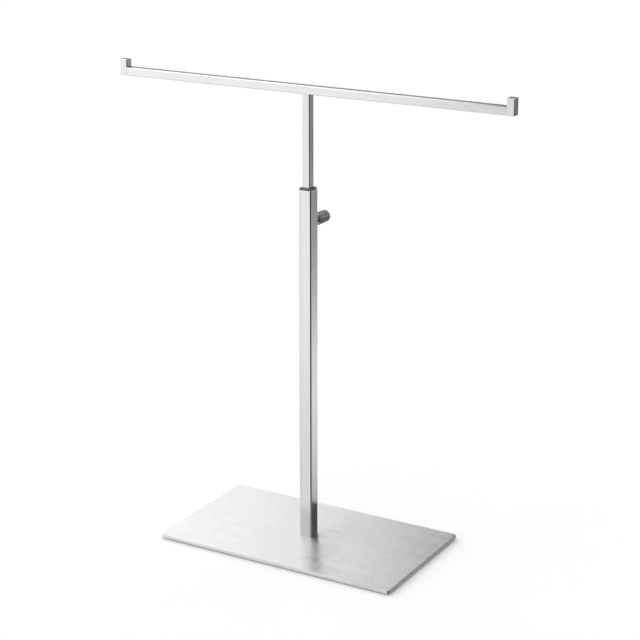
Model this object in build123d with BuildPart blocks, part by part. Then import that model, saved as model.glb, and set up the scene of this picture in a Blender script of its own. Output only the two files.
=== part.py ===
"""Counter-top T-bar display stand with a telescopic square post.

A flat steel plate carries a square outer post. A slimmer square post slides in it and
carries a crossbar with an upturned stop at each end. A thumb screw at the back of the
outer post clamps the slim post at the chosen height.

Millimetres. +X runs along the crossbar, +Y points to the thumb screw (the back), +Z is
up. The origin is on the floor, under the middle of the plate.
"""

import os

from build123d import *

os.makedirs("parts", exist_ok=True)

# ---------------------------------------------------------------- driving dimensions
# Base plate and feet
BASE_LENGTH = 300.0
BASE_WIDTH = 170.0
BASE_THICKNESS = 4.0
BASE_CORNER_RADIUS = 3.0
BASE_EDGE_BREAK = 0.4
FOOT_DIAMETER = 12.0
FOOT_HEIGHT = 2.0
FOOT_INSET = 16.0
FOOT_EDGE_BREAK = 0.4

# Outer post: square tube
OUTER_SIZE = 16.0
OUTER_WALL = 1.2
OUTER_CORNER_RADIUS = 1.8
OUTER_HEIGHT = 412.0
RIM_BREAK = 0.3

# Least corner radius inside a square tube
BORE_RADIUS_MIN = 0.2

# Slim square tube, used for the inner post, the crossbar and the end stops
SLIM_SIZE = 9.5
SLIM_WALL = 1.0
SLIM_CORNER_RADIUS = 1.2
INNER_LENGTH = 330.0
BAR_LENGTH = 489.0
STOP_RISE = 9.0
STOP_EDGE_RADIUS = 0.7
SPIGOT_LENGTH = 12.0
WELD_WRAP = 0.7

# Height setting: clear length of slim post between the outer post and the crossbar
REVEAL = 105.5

# Nylon guides
BUSH_FLANGE_HEIGHT = 2.5
BUSH_SETBACK = 0.75
BUSH_FLANGE_CORNER_RADIUS = 1.2
BUSH_DEPTH = 22.0
BUSH_EDGE_BREAK = 0.5
BUSH_SLEEVE_CORNER_RADIUS = 1.0
GLIDE_HEIGHT = 6.0
GLIDE_STEM = 12.0
GLIDE_CORNER_RADIUS = 1.0
STEM_CORNER_RADIUS = 0.5

# Foot plug and its two countersunk screws
FOOT_PLUG_HEIGHT = 16.0
FOOT_PLUG_CORNER_RADIUS = 1.0
SCREW_DIAMETER = 4.0
SCREW_LENGTH = 14.0
SCREW_HEAD_DIAMETER = 8.0
SCREW_HOLE_DIAMETER = 4.4
SINK_DIAMETER = 8.4
SINK_WEB = 0.2
SOCKET_ACROSS_FLATS = 2.5
SOCKET_DEPTH = 1.4
TAP_RUN_OUT = 2.0

# Clamp: boss on the post, thumb screw and swivelling pad
CLAMP_DROP = 38.0
BOSS_DIAMETER = 9.4
BOSS_LENGTH = 5.0
BOSS_SPIGOT_DIAMETER = 8.0
CLAMP_THREAD_DIAMETER = 6.0
CLAMP_EMBED = 15.0
NECK_DIAMETER = 9.4
NECK_LENGTH = 3.0
KNOB_DIAMETER = 13.5
KNOB_LENGTH = 22.0
KNOB_FRONT_BREAK = 0.5
KNOB_BACK_BREAK = 1.0
PAD_DIAMETER = 5.0
PAD_THICKNESS = 1.6
PAD_STEM_DIAMETER = 2.5
PAD_STEM_LENGTH = 3.0
SMALL_BREAK = 0.4

# Clearances
SLIDE_GAP = 0.1        # slim post to bush, each side
GLIDE_GAP = 0.2        # glide plug to outer post, each side
PLUG_GAP = 0.05        # glide plug, spigots and bush in their tubes, each side
THREAD_GAP = 0.05      # clamp screw to its tapped boss, radial
PAD_GAP = 0.05         # pad to slim post, and pad to screw
NECK_GAP = 0.8         # neck of the knob to the boss when the screw is tight
STEM_BORE_GAP = 0.4    # depth left behind the pad's stem

# ---------------------------------------------------------------- places that follow
PLATE_BOTTOM = FOOT_HEIGHT
PLATE_TOP = PLATE_BOTTOM + BASE_THICKNESS
OUTER_TOP = PLATE_TOP + OUTER_HEIGHT
BAR_UNDERSIDE = OUTER_TOP + REVEAL
BAR_AXIS = BAR_UNDERSIDE + SLIM_SIZE / 2
BAR_TOP = BAR_UNDERSIDE + SLIM_SIZE
STOP_TOP = BAR_TOP + STOP_RISE
INNER_BOTTOM = BAR_UNDERSIDE - INNER_LENGTH
CLAMP_HEIGHT = OUTER_TOP - CLAMP_DROP

OUTER_BORE = OUTER_SIZE - 2 * OUTER_WALL
OUTER_BORE_RADIUS = max(OUTER_CORNER_RADIUS - OUTER_WALL, BORE_RADIUS_MIN)
SLIM_BORE = SLIM_SIZE - 2 * SLIM_WALL
SLIM_BORE_RADIUS = max(SLIM_CORNER_RADIUS - SLIM_WALL, BORE_RADIUS_MIN)
STOP_CENTRE = (BAR_LENGTH - SLIM_SIZE) / 2
STOP_FACE = BAR_LENGTH / 2 - SLIM_SIZE
SINK_RECESS = (SINK_DIAMETER - SCREW_HEAD_DIAMETER) / 2
SCREW_BOTTOM = PLATE_BOTTOM + SINK_RECESS
TAP_DEPTH = SCREW_BOTTOM + SCREW_LENGTH - PLATE_TOP + TAP_RUN_OUT

# Distances behind the post's axis, along the clamp screw
POST_BACK = OUTER_SIZE / 2
BORE_BACK = OUTER_BORE / 2
BOSS_END = POST_BACK + BOSS_LENGTH
NECK_START = BOSS_END + NECK_GAP
KNOB_START = NECK_START + NECK_LENGTH
KNOB_END = KNOB_START + KNOB_LENGTH
PAD_FACE = SLIM_SIZE / 2 + PAD_GAP
PAD_BACK = PAD_FACE + PAD_THICKNESS
CLAMP_SCREW_START = PAD_BACK + PAD_GAP
CLAMP_SCREW_END = NECK_START + CLAMP_EMBED


# ---------------------------------------------------------------- shared shapes
def square_tube(side, bore, radius, bore_radius):
    """Draw the section of a square tube with rounded corners in the active sketch."""
    RectangleRounded(side, side, radius)
    RectangleRounded(bore, bore, bore_radius, mode=Mode.SUBTRACT)


def slim_tube():
    """Draw the section of the slim tube in the active sketch."""
    square_tube(SLIM_SIZE, SLIM_BORE, SLIM_CORNER_RADIUS, SLIM_BORE_RADIUS)


def plug_section(side, radius, bore_radius):
    """Draw a square plug whose corners clear those of the bore that it fills."""
    RectangleRounded(side, side, max(radius, bore_radius))


def clamp_plane(distance):
    """Plane square to the clamp screw, facing back, this far behind the post's axis."""
    return Plane(origin=(0, distance, CLAMP_HEIGHT), x_dir=(1, 0, 0), z_dir=(0, 1, 0))


def finish(part, name):
    """Label a finished piece and write its STEP file."""
    part.label = name
    export_step(part, f"parts/{name}.step")


# ---------------------------------------------------------------- base plate
# The holes of the two countersunk screws lie on a diagonal, so that they also keep the
# square post from turning on the plate. They are as close as their heads allow.
SCREW_OFFSET = (SINK_DIAMETER + SINK_WEB) / (2 * 2 ** 0.5)
SCREW_PLACES = [(-SCREW_OFFSET, -SCREW_OFFSET), (SCREW_OFFSET, SCREW_OFFSET)]

with BuildPart() as base_plate:
    with BuildSketch(Plane.XY.offset(PLATE_BOTTOM)):
        RectangleRounded(BASE_LENGTH, BASE_WIDTH, BASE_CORNER_RADIUS)
    extrude(amount=BASE_THICKNESS)
    chamfer(base_plate.faces().filter_by(Axis.Z).edges(), BASE_EDGE_BREAK)
    with Locations([Plane(origin=(x, y, PLATE_BOTTOM), z_dir=(0, 0, -1)) for x, y in SCREW_PLACES]):
        CounterSinkHole(SCREW_HOLE_DIAMETER / 2, SINK_DIAMETER / 2, BASE_THICKNESS, 90)
finish(base_plate.part, "base_plate")

# ---------------------------------------------------------------- feet
FOOT_X = BASE_LENGTH / 2 - FOOT_INSET
FOOT_Y = BASE_WIDTH / 2 - FOOT_INSET
FOOT_PLACES = {
    "front_left_foot": (-FOOT_X, -FOOT_Y),
    "front_right_foot": (FOOT_X, -FOOT_Y),
    "back_left_foot": (-FOOT_X, FOOT_Y),
    "back_right_foot": (FOOT_X, FOOT_Y),
}

for foot_name, foot_place in FOOT_PLACES.items():
    with BuildPart() as foot:
        with BuildSketch():
            with Locations(foot_place):
                Circle(FOOT_DIAMETER / 2)
        extrude(amount=FOOT_HEIGHT)
        chamfer(foot.edges().group_by(Axis.Z)[0], FOOT_EDGE_BREAK)
    finish(foot.part, foot_name)

# ---------------------------------------------------------------- foot plug
# A solid block welded in the foot of the outer post, tapped for the two screws.
with BuildPart() as foot_plug:
    with BuildSketch(Plane.XY.offset(PLATE_TOP)):
        plug_section(OUTER_BORE, FOOT_PLUG_CORNER_RADIUS, OUTER_BORE_RADIUS)
    extrude(amount=FOOT_PLUG_HEIGHT)
    with Locations([Plane(origin=(x, y, PLATE_TOP), z_dir=(0, 0, -1)) for x, y in SCREW_PLACES]):
        Hole(SCREW_DIAMETER / 2, TAP_DEPTH)
    chamfer(foot_plug.edges().group_by(Axis.Z)[-1], SMALL_BREAK)
finish(foot_plug.part, "foot_plug")

# ---------------------------------------------------------------- base screws
# Countersunk, with a hexagon socket, driven from under the plate.
HEAD_CONE = (SCREW_HEAD_DIAMETER - SCREW_DIAMETER) / 2

for screw_name, screw_place in zip(("front_base_screw", "back_base_screw"), SCREW_PLACES):
    with BuildPart() as base_screw:
        with BuildSketch(Plane.XY.offset(SCREW_BOTTOM)):
            with Locations(screw_place):
                Circle(SCREW_HEAD_DIAMETER / 2)
        with BuildSketch(Plane.XY.offset(SCREW_BOTTOM + HEAD_CONE)):
            with Locations(screw_place):
                Circle(SCREW_DIAMETER / 2)
        loft()
        with BuildSketch(Plane.XY.offset(SCREW_BOTTOM + HEAD_CONE)):
            with Locations(screw_place):
                Circle(SCREW_DIAMETER / 2)
        extrude(amount=SCREW_LENGTH - HEAD_CONE)
        chamfer(base_screw.edges().group_by(Axis.Z)[-1], SMALL_BREAK)
        with BuildSketch(Plane.XY.offset(SCREW_BOTTOM)):
            with Locations(screw_place):
                RegularPolygon(SOCKET_ACROSS_FLATS / 2, 6, major_radius=False)
        extrude(amount=SOCKET_DEPTH, mode=Mode.SUBTRACT)
    finish(base_screw.part, screw_name)

# ---------------------------------------------------------------- outer post
with BuildPart() as outer_post:
    with BuildSketch(Plane.XY.offset(PLATE_TOP)):
        square_tube(OUTER_SIZE, OUTER_BORE, OUTER_CORNER_RADIUS, OUTER_BORE_RADIUS)
    extrude(amount=OUTER_HEIGHT)
    rim = outer_post.faces().sort_by(Axis.Z)[-1].outer_wire().edges()
    chamfer(rim, RIM_BREAK)
    with Locations(clamp_plane(POST_BACK)):
        Hole(BOSS_SPIGOT_DIAMETER / 2, OUTER_SIZE / 2)
finish(outer_post.part, "outer_post")

# ---------------------------------------------------------------- guide bush
# A sleeve in the mouth of the outer post, with a flange that stands on its rim.
with BuildPart() as guide_bush:
    with BuildSketch(Plane.XY.offset(OUTER_TOP - BUSH_DEPTH)):
        plug_section(OUTER_BORE - 2 * PLUG_GAP, BUSH_SLEEVE_CORNER_RADIUS, OUTER_BORE_RADIUS)
    extrude(amount=BUSH_DEPTH)
    with BuildSketch(Plane.XY.offset(OUTER_TOP)):
        flange_side = OUTER_SIZE - 2 * BUSH_SETBACK
        RectangleRounded(flange_side, flange_side, BUSH_FLANGE_CORNER_RADIUS)
    extrude(amount=BUSH_FLANGE_HEIGHT)
    chamfer(guide_bush.edges().group_by(Axis.Z)[-1], BUSH_EDGE_BREAK)
    with BuildSketch(Plane.XY.offset(OUTER_TOP - BUSH_DEPTH)):
        bore_side = SLIM_SIZE + 2 * SLIDE_GAP
        RectangleRounded(bore_side, bore_side, SLIM_CORNER_RADIUS + SLIDE_GAP)
    extrude(amount=BUSH_DEPTH + BUSH_FLANGE_HEIGHT, mode=Mode.SUBTRACT)
finish(guide_bush.part, "guide_bush")

# ---------------------------------------------------------------- screw boss
# A tapped round boss, its spigot fixed in a hole in the post's back wall.
with BuildPart() as screw_boss:
    with BuildSketch(clamp_plane(BORE_BACK)):
        Circle(BOSS_SPIGOT_DIAMETER / 2)
    extrude(amount=OUTER_WALL)
    with BuildSketch(clamp_plane(POST_BACK)):
        Circle(BOSS_DIAMETER / 2)
    extrude(amount=BOSS_LENGTH)
    chamfer(screw_boss.edges().group_by(Axis.Y)[-1], SMALL_BREAK)
    with Locations(clamp_plane(BOSS_END)):
        Hole(CLAMP_THREAD_DIAMETER / 2 + THREAD_GAP)
finish(screw_boss.part, "screw_boss")

# ---------------------------------------------------------------- inner post
# Its top is coped to the crossbar's rounded underside, where it is welded.
with BuildPart() as inner_post:
    with BuildSketch(Plane.XY.offset(INNER_BOTTOM)):
        slim_tube()
    extrude(amount=INNER_LENGTH + WELD_WRAP)
    with BuildSketch(Plane.YZ.offset(-SLIM_SIZE)):
        with Locations((0, BAR_AXIS)):
            RectangleRounded(SLIM_SIZE, SLIM_SIZE, SLIM_CORNER_RADIUS)
    extrude(amount=2 * SLIM_SIZE, mode=Mode.SUBTRACT)
finish(inner_post.part, "inner_post")

# ---------------------------------------------------------------- glide plug
# Its stem closes the foot of the slim post, and its head slides in the outer post. The
# head is too wide for the guide bush, so that the slim post can't be pulled out.
with BuildPart() as glide_plug:
    with BuildSketch(Plane.XY.offset(INNER_BOTTOM - GLIDE_HEIGHT)):
        plug_section(OUTER_BORE - 2 * GLIDE_GAP, GLIDE_CORNER_RADIUS, OUTER_BORE_RADIUS)
    extrude(amount=GLIDE_HEIGHT)
    chamfer(glide_plug.faces().filter_by(Axis.Z).edges(), SMALL_BREAK)
    with BuildSketch(Plane.XY.offset(INNER_BOTTOM)):
        plug_section(SLIM_BORE - 2 * PLUG_GAP, STEM_CORNER_RADIUS, SLIM_BORE_RADIUS)
    extrude(amount=GLIDE_STEM)
    chamfer(glide_plug.edges().group_by(Axis.Z)[-1], SMALL_BREAK)
finish(glide_plug.part, "glide_plug")

# ---------------------------------------------------------------- crossbar
# Its ends are coped to the rounded edges of the end stops.
with BuildPart() as crossbar:
    with BuildSketch(Plane.YZ.offset(-STOP_FACE - WELD_WRAP)):
        with Locations((0, BAR_AXIS)):
            slim_tube()
    extrude(amount=2 * (STOP_FACE + WELD_WRAP))
    with BuildSketch(Plane.XY.offset(BAR_UNDERSIDE)):
        with Locations((-STOP_CENTRE, 0), (STOP_CENTRE, 0)):
            RectangleRounded(SLIM_SIZE, SLIM_SIZE, SLIM_CORNER_RADIUS)
    extrude(amount=SLIM_SIZE, mode=Mode.SUBTRACT)
finish(crossbar.part, "crossbar")

# ---------------------------------------------------------------- end stops
# Upright square blocks, each with a spigot in the hollow end of the crossbar.
for stop_name, side in (("left_end_stop", -1), ("right_end_stop", 1)):
    with BuildPart() as end_stop:
        with BuildSketch(Plane.XY.offset(BAR_UNDERSIDE)):
            with Locations((side * STOP_CENTRE, 0)):
                RectangleRounded(SLIM_SIZE, SLIM_SIZE, SLIM_CORNER_RADIUS)
        extrude(amount=SLIM_SIZE + STOP_RISE)
        fillet(end_stop.faces().filter_by(Axis.Z).edges(), STOP_EDGE_RADIUS)
        with BuildSketch(Plane.YZ.offset(side * STOP_FACE)):
            with Locations((0, BAR_AXIS)):
                plug_section(SLIM_BORE - 2 * PLUG_GAP, STEM_CORNER_RADIUS, SLIM_BORE_RADIUS)
        extrude(amount=-side * SPIGOT_LENGTH)
    finish(end_stop.part, stop_name)

# ---------------------------------------------------------------- clamp pad
# A nylon button that swivels in the end of the thumb screw and bears on the slim post.
with BuildPart() as clamp_pad:
    with BuildSketch(clamp_plane(PAD_FACE)):
        Circle(PAD_DIAMETER / 2)
    extrude(amount=PAD_THICKNESS)
    with BuildSketch(clamp_plane(PAD_BACK)):
        Circle(PAD_STEM_DIAMETER / 2)
    extrude(amount=PAD_STEM_LENGTH)
finish(clamp_pad.part, "clamp_pad")

# ---------------------------------------------------------------- clamp screw
with BuildPart() as clamp_screw:
    with BuildSketch(clamp_plane(CLAMP_SCREW_START)):
        Circle(CLAMP_THREAD_DIAMETER / 2)
    extrude(amount=CLAMP_SCREW_END - CLAMP_SCREW_START)
    chamfer(clamp_screw.edges().group_by(Axis.Y)[0], SMALL_BREAK)
    with BuildSketch(clamp_plane(CLAMP_SCREW_START)):
        Circle(PAD_STEM_DIAMETER / 2 + PAD_GAP)
    extrude(amount=PAD_STEM_LENGTH + STEM_BORE_GAP, mode=Mode.SUBTRACT)
finish(clamp_screw.part, "clamp_screw")

# ---------------------------------------------------------------- clamp knob
# A long round knob with a slimmer neck, pressed on the thumb screw.
with BuildPart() as clamp_knob:
    with BuildSketch(clamp_plane(KNOB_START)):
        Circle(KNOB_DIAMETER / 2)
    extrude(amount=KNOB_LENGTH)
    chamfer(clamp_knob.edges().group_by(Axis.Y)[0], KNOB_FRONT_BREAK)
    chamfer(clamp_knob.edges().group_by(Axis.Y)[-1], KNOB_BACK_BREAK)
    with BuildSketch(clamp_plane(NECK_START)):
        Circle(NECK_DIAMETER / 2)
    extrude(amount=NECK_LENGTH)
    with Locations(Plane(origin=(0, NECK_START, CLAMP_HEIGHT), z_dir=(0, -1, 0))):
        Hole(CLAMP_THREAD_DIAMETER / 2, CLAMP_EMBED)
finish(clamp_knob.part, "clamp_knob")
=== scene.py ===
"""The T-bar display stand: materials, knurled thumb screw, threads and a plain pale studio."""
import math
from collections import namedtuple

import bmesh
import bpy
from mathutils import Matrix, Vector


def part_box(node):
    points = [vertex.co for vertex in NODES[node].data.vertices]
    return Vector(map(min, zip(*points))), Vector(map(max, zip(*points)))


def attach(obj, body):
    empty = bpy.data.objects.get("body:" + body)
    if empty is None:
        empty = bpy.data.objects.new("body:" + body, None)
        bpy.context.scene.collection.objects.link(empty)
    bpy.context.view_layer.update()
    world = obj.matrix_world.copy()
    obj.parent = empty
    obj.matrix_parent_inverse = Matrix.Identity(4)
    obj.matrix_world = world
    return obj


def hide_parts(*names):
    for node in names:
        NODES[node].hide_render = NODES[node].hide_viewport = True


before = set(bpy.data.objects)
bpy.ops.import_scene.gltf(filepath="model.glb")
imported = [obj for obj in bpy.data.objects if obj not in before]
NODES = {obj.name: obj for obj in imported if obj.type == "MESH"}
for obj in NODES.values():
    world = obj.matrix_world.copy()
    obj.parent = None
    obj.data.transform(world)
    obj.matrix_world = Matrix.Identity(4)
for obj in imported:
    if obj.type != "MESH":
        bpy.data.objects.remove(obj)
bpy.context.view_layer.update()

MM = 0.001

# Camera: a long lens, to the right of the stand and above it
CAMERA_AZIMUTH = math.radians(29.891)
CAMERA_ELEVATION = math.radians(17.729)
CAMERA_DISTANCE = 1.9904
CAMERA_REACH = 50.0            # well past the floor's edge
CAMERA_LENS_MM = 100.3
SENSOR_MM = 36.0
CAMERA_TARGET = Vector((0.0151, 0.0, 0.2702))

# Studio: the brightness of the room by direction. Lights come first, then cards over them, each laid
# over the ones before it. A light shows past all its edges. An edge is an axis of the direction, where
# along it the light begins to show, and where it shows fully.
BACKDROP_BRIGHTNESS = 1.0      # what the camera sees above the floor's horizon
ROOM_BRIGHTNESS = 0.07
Light = namedtuple("Light", "name edges brightness")
LIGHTS = (
    Light("front", (("X", -0.33, -0.25), ("X", 0.24, 0.10), ("Y", -0.10, -0.30)), 0.4),
    Light("right", (("X", 0.62, 0.72),), 0.38),
    Light("overhead_strip", (("X", -0.33, -0.25), ("X", 0.33, 0.25), ("Z", 0.35, 0.55)), 1.75),
    Light("left_bank_edge", (("X", -0.398, -0.416),), 1.50),
    Light("left_bank", (("X", -0.43, -0.54),), 1.86),
)

# Cards, in degrees: azimuth 0 is the stand's front, 90 its right side, and elevation 0 is level. The
# low ones are what the steel shows of the floor, which its reflections leave out.
Card = namedtuple("Card", "name azimuth half_width elevation half_height soft_edge brightness")
CARDS = (
    Card("back_left_low", -150, 42, -2, 20, 3, 0.28),
    Card("table", 0, 180, -45, 45, 2, 1.22),
    Card("table_near", 0, 180, -59, 39, 3, 0.95),
    Card("table_left_far", -50, 26, -4, 6, 1.5, 1.42),
    Card("table_front_far", -13.5, 12, -8, 4, 3, 0.62),
    Card("table_front", -14, 9, -21, 9, 3, 1.8),
    Card("behind_dark", 148, 24, -45, 44, 4, 0.16),
    Card("behind_grey", 137, 14, -45, 43, 8, 0.40),
    Card("behind_mid", 148, 24, -19, 5.5, 1.5, 0.42),
    Card("table_behind", 148, 24, -20.1, 2.7, 2.7, 1.08),
    Card("right_pale_flag", 96, 25, -20, 30, 4, 0.2),
    Card("right_flag", 37, 37, -20, 30, 4, 0.02),
)

FLOOR_RADIUS = 9.0
FLOOR_SIDES = 96
FLOOR_TONES = (0.945, 0.965)   # the paper's fibres, darkest and lightest
FLOOR_FIBRES = 900             # in a metre
FLOOR_ROUGHNESS = 0.9
FLOOR_SPECULAR = 0.1

# Noise: the range that holds most of a noise's values, and a narrow one for more contrast
NOISE_RANGE = (0.3, 0.7)
NOISE_MIDDLE = (0.40, 0.60)
NOISE_DETAIL = 2.0             # how many finer noises are laid over a broad one
FINER_DETAIL = 3.0

# Brushed steel. satin is the roughness of its polished and of its matt scratches, which lie side by
# side, and scratch is how deep the finest ones are, on the scale of BROAD_DEPTH.
STEEL_TONE = 0.66
STEEL_DARK = (0.965, 0.965, 0.96)     # share of the tone in a dark streak, by channel
STEEL_LIGHT = (1.025, 1.025, 1.02)    # and in a light one
BANDS = (2.5, 170)                    # streaks in a metre, along and across the grain
BROAD_SCRATCHES = (6, 520)
FINE_SCRATCHES = (60, 6000)
SMUDGES = 14                          # in a metre
TONE_SHARES = (0.5, 0.3, 0.2)         # of bands, broad and fine scratches in the tone
ROUGH_SHARES = (0.2, 0.8)             # of bands and fine scratches in the roughness
SMUDGE_ROUGHNESS = (-0.02, 0.03)
BROAD_DEPTH = 0.8
SCRATCH_BUMP = 0.02 * MM
END_GRAIN = 0.8                       # how near to the grain's axis the normal of an end face is
GRAIN_SHIFT = (1.0, 0.7, 0.3)         # how a seed moves the grain, so that no two pieces match

Brushed = namedtuple("Brushed", "nodes grain satin anisotropy scratch seed")
BRUSHED_STEELS = {
    "plate_brushed_steel": Brushed(("base_plate",), "X", (0.15, 0.46), 1.0, 2.6, 1.3),
    "post_brushed_steel": Brushed(("outer_post",), "Z", (0.10, 0.22), 0.5, 0.2, 2.1),
    "mast_brushed_steel": Brushed(("inner_post",), "Z", (0.10, 0.22), 0.5, 0.2, 3.7),
    "bar_brushed_steel": Brushed(("crossbar",), "X", (0.08, 0.20), 0.4, 0.2, 4.9),
    "stop_brushed_steel": Brushed(("left_end_stop", "right_end_stop"), "Z", (0.10, 0.22), 0.5, 0.2, 5.3),
    "plain_steel": Brushed(("foot_plug", "screw_boss"), "Z", (0.30, 0.40), 0.3, 0.2, 6.1),
}

# Moulded plastic and rubber: grain is how fine its texture is, and bump how high, in millimetres
FEET = tuple(f"{end}_{side}_foot" for end in ("front", "back") for side in ("left", "right"))
Moulded = namedtuple("Moulded", "nodes colour roughness grain bump_mm")
MOULDINGS = {
    "foot_rubber": Moulded(FEET, (0.03, 0.03, 0.03), 0.75, 3000, 0.02),
    "guide_nylon": Moulded(("guide_bush", "glide_plug"), (0.095, 0.095, 0.097), 0.42, 4000, 0.01),
    "pad_nylon": Moulded(("clamp_pad",), (0.55, 0.54, 0.50), 0.5, 4000, 0.01),
}
MOULDED_CLOUDS = 160
MOULDED_TONES = (0.8, 1.25)           # share of the colour in its darkest and lightest clouds
MOULDED_CHANGE = (-0.08, 0.08)        # what its texture adds to the roughness

# Turned steel: rings is how fine its turning marks are along the axis, and its pattern starts from
# the lowest corner of the CAD node
Turned = namedtuple("Turned", "node colour roughness rings")
TURNED_STEELS = {
    "knob_steel": Turned("clamp_knob", (0.29, 0.29, 0.295), 0.3, 9000.0),
    "neck_steel": Turned("clamp_knob", (0.86, 0.86, 0.86), 0.16, 3000.0),
    "screw_steel": Turned("clamp_screw", (0.50, 0.50, 0.50), 0.32, 4000.0),
}
TURNED_CLOUDS = 260
TURNED_TONES = (0.82, 1.12)
TURNED_CHANGE = (-0.06, 0.08)
RINGS_ACROSS = 200                    # how slowly a ring changes on its way round
RING_BUMP = 0.02 * MM

# Bump strength, of a surface's texture and of turning marks
TEXTURE_STRENGTH = 0.5
RING_STRENGTH = 0.3

# Threads: shares of the pitch, and how finely they are meshed
THREAD_DEPTH = 0.6
CREST_FLAT = 0.125
ROOT_FLAT = 0.25
THREAD_ROWS = 12                      # in one pitch
SCREW_SIDES = 36

# Knob
KNURL_ROUND = 44                      # diamonds round the knob
KNURL_DEPTH = 0.30 * MM
KNURL_FLAT = 0.34                     # share of each diamond left flat on top
KNURL_START = 0.6 * MM                # from the knob's face
KNURL_END = 1.3 * MM                  # from its far end
SHOULDER_RADII_MM = (6.20, 5.95, 4.95)        # of the rings on its face
KNOB_END_MM = (                       # radius and depth from the far end: rounded rim, step, dimple
    (6.28, 0.85), (6.0, 0.45), (5.6, 0.17), (5.1, 0.03), (4.7, 0.0),
    (3.1, 0.0), (2.95, 0.12), (1.6, 0.12), (1.3, 0.3),
)
DIMPLE_DEPTH = 0.85 * MM
NECK_RADIUS = 4.7 * MM
NECK_LENGTH = 3.0 * MM
NECK_BEVEL = 0.25 * MM                # where it meets the knob's face
NECK_CHAMFER = 0.3 * MM
NECK_FACE_MARGIN = 0.05 * MM          # faces this far short of the knob's face are the neck's
GROOVE_START, GROOVE_END = 1.0 * MM, 1.7 * MM
GROOVE_DEPTH = 0.25 * MM
GROOVE_SLOPE = 0.2 * MM
BORE_RADIUS = 3.02 * MM
BORE_CHAMFER = 0.35 * MM
BORE_DEPTH = 15.1 * MM
BORE_TIP = 1.2 * MM

# Clamp screw: M6, with a hole in its end that the pad swivels in
M6_RADIUS, M6_PITCH = 3.0 * MM, 1.0 * MM
PAD_HOLE_RADIUS = 1.3 * MM
PAD_HOLE_CHAMFER = 0.2 * MM
PAD_HOLE_SPARE = 0.1 * MM             # past the pad's stem
PAD_HOLE_TIP = 0.3 * MM

# Base screws: M4 countersunk, with a hexagon socket
M4_RADIUS, M4_PITCH = 2.0 * MM, 0.7 * MM
HEAD_RIM_MM = ((-0.12, 0.0), (0.0, 0.1), (-0.06, 0.22))    # past the head's radius, above its face
NECK_ABOVE_CONE = 0.3 * MM
THREAD_ABOVE_CONE = 0.4 * MM
SOCKET_RIM_RADIUS = 1.62 * MM
SOCKET_HALF_WIDTH = 1.25 * MM         # half its width across the flats
SOCKET_CHAMFER = 0.15 * MM
SOCKET_DEPTH = 1.4 * MM
SOCKET_TIP_DEPTH = 1.75 * MM


# ---------------------------------------------------------------- node helpers

MIX_A, MIX_B, MIX_RESULT = 6, 7, 2    # the colour sockets of a mix node, which share their names


class Tree:
    """A material's or world's node tree, with short calls to add and join nodes."""

    def __init__(self, owner):
        owner.use_nodes = True
        self.nodes = owner.node_tree.nodes
        self.links = owner.node_tree.links
        self.nodes.clear()

    def node(self, kind, **settings):
        made = self.nodes.new(kind)
        for key, value in settings.items():
            setattr(made, key, value)
        return made

    def feed(self, socket, value):
        """Links a socket to another one, or sets it to a plain value."""
        if isinstance(value, bpy.types.NodeSocket):
            self.links.new(value, socket)
        else:
            socket.default_value = value

    def math(self, operation, *values):
        made = self.node("ShaderNodeMath", operation=operation)
        for socket, value in zip(made.inputs, values):
            self.feed(socket, value)
        return made.outputs[0]

    def vector(self, operation, *values):
        made = self.node("ShaderNodeVectorMath", operation=operation)
        for socket, value in zip(made.inputs, values):
            self.feed(socket, value)
        return made.outputs["Value" if operation == "DOT_PRODUCT" else "Vector"]

    def weigh(self, *pairs):
        """The sum of values, each times its weight."""
        total = None
        for value, weight in pairs:
            term = self.math("MULTIPLY", value, weight)
            total = term if total is None else self.math("ADD", total, term)
        return total

    def ramp(self, value, low, high, to_low=0.0, to_high=1.0, kind="LINEAR"):
        made = self.node("ShaderNodeMapRange", interpolation_type=kind)
        for name, given in (("Value", value), ("From Min", low), ("From Max", high),
                            ("To Min", to_low), ("To Max", to_high)):
            self.feed(made.inputs[name], given)
        return made.outputs["Result"]

    def soft_step(self, value, begins, ends):
        """Rises smoothly from 0 where it begins to 1 where it ends, in either direction."""
        return self.ramp(value, begins, ends, kind="SMOOTHSTEP")

    def mix(self, factor, a, b, label=""):
        made = self.node("ShaderNodeMix", data_type="RGBA", label=label)
        self.feed(made.inputs["Factor"], factor)
        self.feed(made.inputs[MIX_A], a)
        self.feed(made.inputs[MIX_B], b)
        return made.outputs[MIX_RESULT]

    def noise(self, place, scale, detail=NOISE_DETAIL):
        made = self.node("ShaderNodeTexNoise")
        self.feed(made.inputs["Vector"], place)
        made.inputs["Scale"].default_value = scale
        made.inputs["Detail"].default_value = detail
        return made.outputs["Fac"]

    def object_place(self):
        return self.node("ShaderNodeTexCoord").outputs["Object"]

    def bump(self, shader, height, strength, distance):
        made = self.node("ShaderNodeBump")
        made.inputs["Strength"].default_value = strength
        made.inputs["Distance"].default_value = distance
        self.feed(made.inputs["Height"], height)
        self.feed(shader.inputs["Normal"], made.outputs[0])


def grey(value):
    return (value, value, value, 1.0)


def tint(colour, shares):
    """A colour with each channel scaled by its share, as a socket's opaque colour."""
    return (*(channel * share for channel, share in zip(colour, shares)), 1.0)


# ---------------------------------------------------------------- studio

def light_mask(tree, direction, light):
    """1 where a light shows and 0 where it doesn't."""
    mask = 1.0
    for axis, begins, ends in light.edges:
        mask = tree.math("MULTIPLY", mask, tree.soft_step(direction[axis], begins, ends))
    return mask


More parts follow.
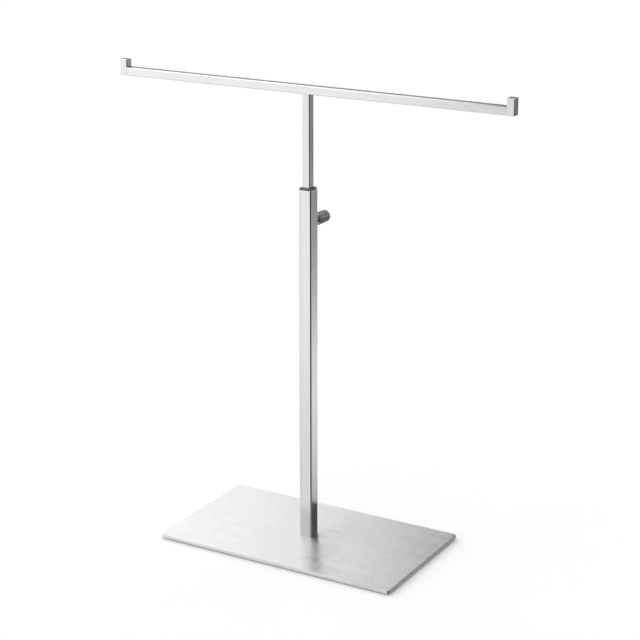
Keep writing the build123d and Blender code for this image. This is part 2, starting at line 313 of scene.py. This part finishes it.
def card_mask(tree, azimuth, elevation, card):
    """1 inside a card and 0 outside it."""
    turned = tree.math("SUBTRACT", azimuth, math.radians(card.azimuth))
    turned = tree.math("WRAP", turned, -math.pi, math.pi)
    raised = tree.math("SUBTRACT", elevation, math.radians(card.elevation))
    masks = []
    for away, half in ((turned, card.half_width), (raised, card.half_height)):
        outer, inner = math.radians(half + card.soft_edge), math.radians(half - card.soft_edge)
        masks.append(tree.soft_step(tree.math("ABSOLUTE", away), outer, inner))
    return tree.math("MULTIPLY", *masks)


def make_world():
    """Paints the studio by direction. The camera itself sees a plain backdrop."""
    world = bpy.data.worlds.new("studio")
    bpy.context.scene.world = world
    tree = Tree(world)
    split = tree.node("ShaderNodeSeparateXYZ")
    tree.feed(split.inputs[0], tree.node("ShaderNodeTexCoord").outputs["Generated"])
    direction = split.outputs
    forwards = tree.math("MULTIPLY", direction["Y"], -1.0)
    azimuth = tree.math("ARCTAN2", direction["X"], forwards)
    elevation = tree.math("ARCSINE", direction["Z"])
    colour = grey(ROOM_BRIGHTNESS)
    for light in LIGHTS:
        mask = light_mask(tree, direction, light)
        colour = tree.mix(mask, colour, grey(light.brightness), light.name)
    for card in CARDS:
        mask = card_mask(tree, azimuth, elevation, card)
        colour = tree.mix(mask, colour, grey(card.brightness), card.name)
    seen = tree.node("ShaderNodeLightPath").outputs["Is Camera Ray"]
    colour = tree.mix(seen, colour, grey(BACKDROP_BRIGHTNESS))
    background = tree.node("ShaderNodeBackground")
    tree.feed(background.inputs["Color"], colour)
    output = tree.node("ShaderNodeOutputWorld")
    tree.feed(output.inputs["Surface"], background.outputs[0])


def make_floor():
    """A pale paper floor. The steel doesn't reflect it: the table cards stand in for it there."""
    bpy.ops.mesh.primitive_circle_add(vertices=FLOOR_SIDES, radius=FLOOR_RADIUS, fill_type="NGON")
    floor = bpy.context.object
    floor.name = "studio_floor"
    material = bpy.data.materials.new("floor_paper")
    darkest, lightest = FLOOR_TONES
    tree, shader = shader_of(material, (darkest,) * 3, 0.0, FLOOR_ROUGHNESS)
    shader.inputs["Specular IOR Level"].default_value = FLOOR_SPECULAR
    fibres = tree.ramp(tree.noise(tree.object_place(), FLOOR_FIBRES, FINER_DETAIL), *NOISE_RANGE)
    tree.feed(shader.inputs["Base Color"], tree.mix(fibres, grey(darkest), grey(lightest)))
    floor.data.materials.append(material)
    floor.visible_glossy = False


def make_camera():
    data = bpy.data.cameras.new("camera")
    camera = bpy.data.objects.new("camera", data)
    bpy.context.scene.collection.objects.link(camera)
    data.lens = CAMERA_LENS_MM
    data.sensor_width = SENSOR_MM
    data.clip_end = CAMERA_REACH
    level = CAMERA_DISTANCE * math.cos(CAMERA_ELEVATION)
    camera.location = CAMERA_TARGET + Vector((
        level * math.sin(CAMERA_AZIMUTH),
        -level * math.cos(CAMERA_AZIMUTH),
        CAMERA_DISTANCE * math.sin(CAMERA_ELEVATION)))
    look = CAMERA_TARGET - camera.location
    camera.rotation_euler = look.to_track_quat("-Z", "Y").to_euler()
    bpy.context.scene.camera = camera
    bpy.context.scene.view_settings.view_transform = "Standard"


# ---------------------------------------------------------------- materials

def shader_of(material, colour, metallic, roughness):
    """Gives a material a principled shader: returns its tree and the shader."""
    tree = Tree(material)
    shader = tree.node("ShaderNodeBsdfPrincipled")
    shader.inputs["Base Color"].default_value = (*colour, 1.0)
    shader.inputs["Metallic"].default_value = metallic
    shader.inputs["Roughness"].default_value = roughness
    output = tree.node("ShaderNodeOutputMaterial")
    tree.feed(output.inputs["Surface"], shader.outputs[0])
    return tree, shader


def lay_grain(tree, shader, grain, anisotropy):
    """Draws the highlights out across the grain. A face that the grain runs into takes another axis."""
    shader.inputs["Anisotropic"].default_value = anisotropy
    normal = tree.node("ShaderNodeNewGeometry").outputs["Normal"]
    other = 0 if grain == 1 else 1
    along_grain, along_other = (tuple(float(k == axis) for k in range(3)) for axis in (grain, other))
    facing = tree.math("ABSOLUTE", tree.vector("DOT_PRODUCT", normal, along_grain))
    on_end = tree.math("GREATER_THAN", facing, END_GRAIN)
    along = tree.mix(on_end, (*along_grain, 1.0), (*along_other, 1.0))
    tree.feed(shader.inputs["Tangent"], tree.vector("CROSS_PRODUCT", along, normal))


def brushed_steel(name, finish):
    """Satin stainless steel with its grain along one axis."""
    grain = "XYZ".index(finish.grain)
    steel = (STEEL_TONE,) * 3
    material = bpy.data.materials.new(name)
    tree, shader = shader_of(material, steel, 1.0, finish.satin[0])
    shift = tuple(finish.seed * share for share in GRAIN_SHIFT)
    place = tree.vector("ADD", tree.object_place(), shift)

    def streaks(along, across):
        scale = [across] * 3
        scale[grain] = along
        return tree.noise(tree.vector("MULTIPLY", place, tuple(scale)), 1.0)

    bands, broad, fine = (streaks(*kind) for kind in (BANDS, BROAD_SCRATCHES, FINE_SCRATCHES))
    tone = tree.ramp(tree.weigh(*zip((bands, broad, fine), TONE_SHARES)), *NOISE_MIDDLE)
    tree.feed(shader.inputs["Base Color"],
              tree.mix(tone, tint(steel, STEEL_DARK), tint(steel, STEEL_LIGHT)))
    rough = tree.ramp(tree.weigh(*zip((bands, fine), ROUGH_SHARES)), *NOISE_MIDDLE, *finish.satin)
    smudge = tree.ramp(tree.noise(place, SMUDGES, FINER_DETAIL), *NOISE_RANGE, *SMUDGE_ROUGHNESS)
    tree.feed(shader.inputs["Roughness"], tree.math("ADD", rough, smudge))
    relief = tree.weigh((broad, BROAD_DEPTH), (fine, finish.scratch))
    tree.bump(shader, relief, TEXTURE_STRENGTH, SCRATCH_BUMP)
    lay_grain(tree, shader, grain, finish.anisotropy)
    return material


def moulded(name, finish):
    """Moulded plastic or rubber: fine matt texture with small changes of tone."""
    material = bpy.data.materials.new(name)
    tree, shader = shader_of(material, finish.colour, 0.0, finish.roughness)
    place = tree.object_place()
    fine = tree.noise(place, finish.grain, FINER_DETAIL)
    dark, light = (tint(finish.colour, (share,) * 3) for share in MOULDED_TONES)
    tree.feed(shader.inputs["Base Color"], tree.mix(tree.noise(place, MOULDED_CLOUDS), dark, light))
    ends = (finish.roughness + change for change in MOULDED_CHANGE)
    tree.feed(shader.inputs["Roughness"], tree.ramp(fine, *NOISE_RANGE, *ends))
    tree.bump(shader, fine, TEXTURE_STRENGTH, finish.bump_mm * MM)
    return material


def turned_steel(name, finish):
    """Steel turned on a lathe, with fine rings along Y, the thumb screw's axis."""
    material = bpy.data.materials.new(name)
    tree, shader = shader_of(material, finish.colour, 1.0, finish.roughness)
    corner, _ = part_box(finish.node)
    place = tree.vector("SUBTRACT", tree.object_place(), tuple(corner))
    cloud = tree.noise(place, TURNED_CLOUDS, FINER_DETAIL)
    stretched = tree.vector("MULTIPLY", place, (RINGS_ACROSS, finish.rings, RINGS_ACROSS))
    rings = tree.noise(stretched, 1.0)
    dark, light = (tint(finish.colour, (share,) * 3) for share in TURNED_TONES)
    tree.feed(shader.inputs["Base Color"], tree.mix(cloud, dark, light))
    ends = (finish.roughness + change for change in TURNED_CHANGE)
    tree.feed(shader.inputs["Roughness"], tree.ramp(rings, *NOISE_RANGE, *ends))
    tree.bump(shader, rings, RING_STRENGTH, RING_BUMP)
    return material


# ---------------------------------------------------------------- screws and knob

def along_y(centre):
    """Places points round an axis that runs along +Y through centre."""
    def place(radius, angle, distance):
        return Vector((centre.x + radius * math.sin(angle), distance,
                       centre.z + radius * math.cos(angle)))
    return place


def along_z(centre):
    """Places points round an axis that runs along +Z through centre."""
    def place(radius, angle, distance):
        return Vector((centre.x + radius * math.cos(angle),
                       centre.y + radius * math.sin(angle), distance))
    return place


def even_angles(count):
    return [2 * math.pi * k / count for k in range(count)]


def join(bm, first, second):
    """Closes the band between two rings with the same number of points."""
    count = len(first)
    for k in range(count):
        n = (k + 1) % count
        bm.faces.new((first[k], first[n], second[n], second[k]))


def close(bm, loop, tip):
    """Closes a ring with a cone to one point."""
    middle = bm.verts.new(tip)
    for k, vertex in enumerate(loop):
        bm.faces.new((vertex, loop[(k + 1) % len(loop)], middle))


def lathe(bm, place, angles, profile, begin=None):
    """Turns a profile of (radius, distance) points, from a ring that is there already if given."""
    first = last = begin
    for radius, distance in profile:
        made = [bm.verts.new(place(radius, angle, distance)) for angle in angles]
        if last:
            join(bm, last, made)
        first = first or made
        last = made
    return first, last


def thread_radius(share, crest, pitch):
    """Radius of a thread at a share of its pitch: flat crest, straight flanks, flat root."""
    away = abs(share % 1.0 - 0.5) * 2
    flank = (away - CREST_FLAT) / (1 - CREST_FLAT - ROOT_FLAT)
    return crest - THREAD_DEPTH * pitch * min(1.0, max(0.0, flank))


def thread(bm, place, start, end, crest, pitch, begin=None):
    """A right-handed thread from start to end. It tapers in at its end, and at its start unless it
    goes on from a ring that is there already."""
    rows = round((end - start) / pitch * THREAD_ROWS)
    root = crest - THREAD_DEPTH * pitch
    first = last = begin
    for row in range(rows + 1):
        distance = start + (end - start) * row / rows
        from_end = end - distance if begin else min(end - distance, distance - start)
        made = []
        for k, angle in enumerate(even_angles(SCREW_SIDES)):
            share = distance / pitch - k / SCREW_SIDES
            radius = min(thread_radius(share, crest, pitch), root + from_end)
            made.append(bm.verts.new(place(radius, angle, distance)))
        if last:
            join(bm, last, made)
        first = first or made
        last = made
    return first, last


def finish_piece(bm, name, body, material, replaced):
    """Makes the piece's object from its mesh, puts it on the body it rides on, and hides the CAD node it
    stands for.
    """
    bmesh.ops.recalc_face_normals(bm, faces=bm.faces)
    mesh = bpy.data.meshes.new(name)
    bm.to_mesh(mesh)
    bm.free()
    piece = bpy.data.objects.new(name, mesh)
    bpy.context.scene.collection.objects.link(piece)
    mesh.materials.append(material)
    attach(piece, body)
    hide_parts(replaced)
    return piece


def knurl_steps():
    """Three places for each diamond, in half diamonds: its left corner, and its flat top's sides."""
    return [2 * k + offset for k in range(KNURL_ROUND) for offset in (-1, -KNURL_FLAT, KNURL_FLAT)]


def knurl(bm, place, start, end, radius):
    """Diamond knurling: rows of raised diamonds, each a flat-topped pyramid. Returns its two edges."""
    step = math.pi / KNURL_ROUND
    rows = 2 * round((end - start) / (2 * step * radius))
    rise = (end - start) / rows
    low = radius - KNURL_DEPTH
    made = {}

    def point(i, j, r):
        """The point at step i round and row j, which the diamonds beside it share."""
        key = (round(i % (2 * KNURL_ROUND), 3) % (2 * KNURL_ROUND), round(j, 3))
        if key not in made:
            made[key] = bm.verts.new(place(r, i * step, start + j * rise))
        return made[key]

    for j in range(rows + 1):
        for i in range(j % 2, 2 * KNURL_ROUND, 2):
            left, right = point(i - 1, j, low), point(i + 1, j, low)
            top_left = point(i - KNURL_FLAT, j, radius)
            top_right = point(i + KNURL_FLAT, j, radius)
            for way in (-1, 1):
                if not 0 <= j + way <= rows:
                    continue
                tip = point(i, j + way, low)
                top_tip = point(i, j + way * KNURL_FLAT, radius)
                bm.faces.new((left, tip, top_tip, top_left))
                bm.faces.new((tip, right, top_right, top_tip))
                bm.faces.new((top_left, top_tip, top_right))
    return [[point(i, j, low) for i in knurl_steps()] for j in (0, rows)]


def make_knob(material, neck_material):
    """The thumb screw's knob: knurled grip, grooved bright neck, and a blind bore for its screw."""
    low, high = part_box("clamp_knob")
    place = along_y((low + high) / 2)
    near, face, far = low.y, low.y + NECK_LENGTH, high.y
    angles = [i * math.pi / KNURL_ROUND for i in knurl_steps()]
    groove_radius = NECK_RADIUS - GROOVE_DEPTH
    bm = bmesh.new()
    front, back = knurl(bm, place, face + KNURL_START, far - KNURL_END, (high.x - low.x) / 2)
    profile = [(radius * MM, face) for radius in SHOULDER_RADII_MM]
    profile += [
        (NECK_RADIUS, face - NECK_BEVEL),
        (NECK_RADIUS, near + GROOVE_END), (groove_radius, near + GROOVE_END - GROOVE_SLOPE),
        (groove_radius, near + GROOVE_START + GROOVE_SLOPE), (NECK_RADIUS, near + GROOVE_START),
        (NECK_RADIUS, near + NECK_CHAMFER), (NECK_RADIUS - NECK_CHAMFER, near),
        (BORE_RADIUS + BORE_CHAMFER, near), (BORE_RADIUS, near + BORE_CHAMFER),
        (BORE_RADIUS, near + BORE_DEPTH)]
    _, inside = lathe(bm, place, angles, profile, front)
    close(bm, inside, place(0, 0, near + BORE_DEPTH + BORE_TIP))
    profile = [(radius * MM, far - depth * MM) for radius, depth in KNOB_END_MM]
    _, dimple = lathe(bm, place, angles, profile, back)
    close(bm, dimple, place(0, 0, far - DIMPLE_DEPTH))
    piece = finish_piece(bm, "knurled_knob", "thumb_screw", material, "clamp_knob")
    piece.data.materials.append(neck_material)
    for polygon in piece.data.polygons:
        polygon.material_index = int(polygon.center.y < face - NECK_FACE_MARGIN)


def make_clamp_screw(material):
    """The thumb screw's M6 shank, with the hole that the pad swivels in."""
    low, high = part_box("clamp_screw")
    _, pad_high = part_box("clamp_pad")
    place = along_y((low + high) / 2)
    hole_end = pad_high.y + PAD_HOLE_SPARE
    bm = bmesh.new()
    first, last = thread(bm, place, low.y, high.y, M6_RADIUS, M6_PITCH)
    close(bm, last, place(0, 0, high.y))
    hole = [(PAD_HOLE_RADIUS + PAD_HOLE_CHAMFER, low.y),
            (PAD_HOLE_RADIUS, low.y + PAD_HOLE_CHAMFER), (PAD_HOLE_RADIUS, hole_end)]
    _, bottom = lathe(bm, place, even_angles(SCREW_SIDES), hole, first)
    close(bm, bottom, place(0, 0, hole_end + PAD_HOLE_TIP))
    finish_piece(bm, "threaded_clamp_screw", "thumb_screw", material, "clamp_screw")


def hexagon(bm, place, distance):
    """A ring with six flat sides, with its points at a screw's angles."""
    sixth, half_side = math.radians(60), math.radians(30)
    ring = []
    for angle in even_angles(SCREW_SIDES):
        from_flat = (angle + half_side) % sixth - half_side
        ring.append(bm.verts.new(place(SOCKET_HALF_WIDTH / math.cos(from_flat), angle, distance)))
    return ring


def make_base_screw(node, material):
    """M4 countersunk screw with a hexagon socket, its head downwards."""
    low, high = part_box(node)
    place = along_z((low + high) / 2)
    head = (high.x - low.x) / 2
    cone_top = low.z + head - M4_RADIUS
    bm = bmesh.new()
    profile = [(SOCKET_RIM_RADIUS, low.z)]
    profile += [(head + past * MM, low.z + above * MM) for past, above in HEAD_RIM_MM]
    profile += [(M4_RADIUS, cone_top), (M4_RADIUS, cone_top + NECK_ABOVE_CONE)]
    rim, neck = lathe(bm, place, even_angles(SCREW_SIDES), profile)
    _, tip = thread(bm, place, cone_top + THREAD_ABOVE_CONE, high.z, M4_RADIUS, M4_PITCH, neck)
    close(bm, tip, place(0, 0, high.z))
    mouth = hexagon(bm, place, low.z + SOCKET_CHAMFER)
    bottom = hexagon(bm, place, low.z + SOCKET_DEPTH)
    join(bm, rim, mouth)
    join(bm, mouth, bottom)
    close(bm, bottom, place(0, 0, low.z + SOCKET_TIP_DEPTH))
    finish_piece(bm, node + "_threaded", "stand", material, node)


# ---------------------------------------------------------------- materials on their pieces

def dress(node, material):
    """Gives a carried-over CAD node its finished material."""
    target = NODES[node]
    if not target.material_slots:
        target.data.materials.append(material)
    for held in target.material_slots:
        held.material = material


def dress_nodes():
    for make, finishes in ((brushed_steel, BRUSHED_STEELS), (moulded, MOULDINGS)):
        for name, finish in finishes.items():
            material = make(name, finish)
            for node in finish.nodes:
                dress(node, material)


def make_turned_pieces():
    steels = {name: turned_steel(name, finish) for name, finish in TURNED_STEELS.items()}
    make_knob(steels["knob_steel"], steels["neck_steel"])
    make_clamp_screw(steels["screw_steel"])
    for node in ("front_base_screw", "back_base_screw"):
        make_base_screw(node, steels["screw_steel"])


make_camera()
make_world()
make_floor()
dress_nodes()
make_turned_pieces()
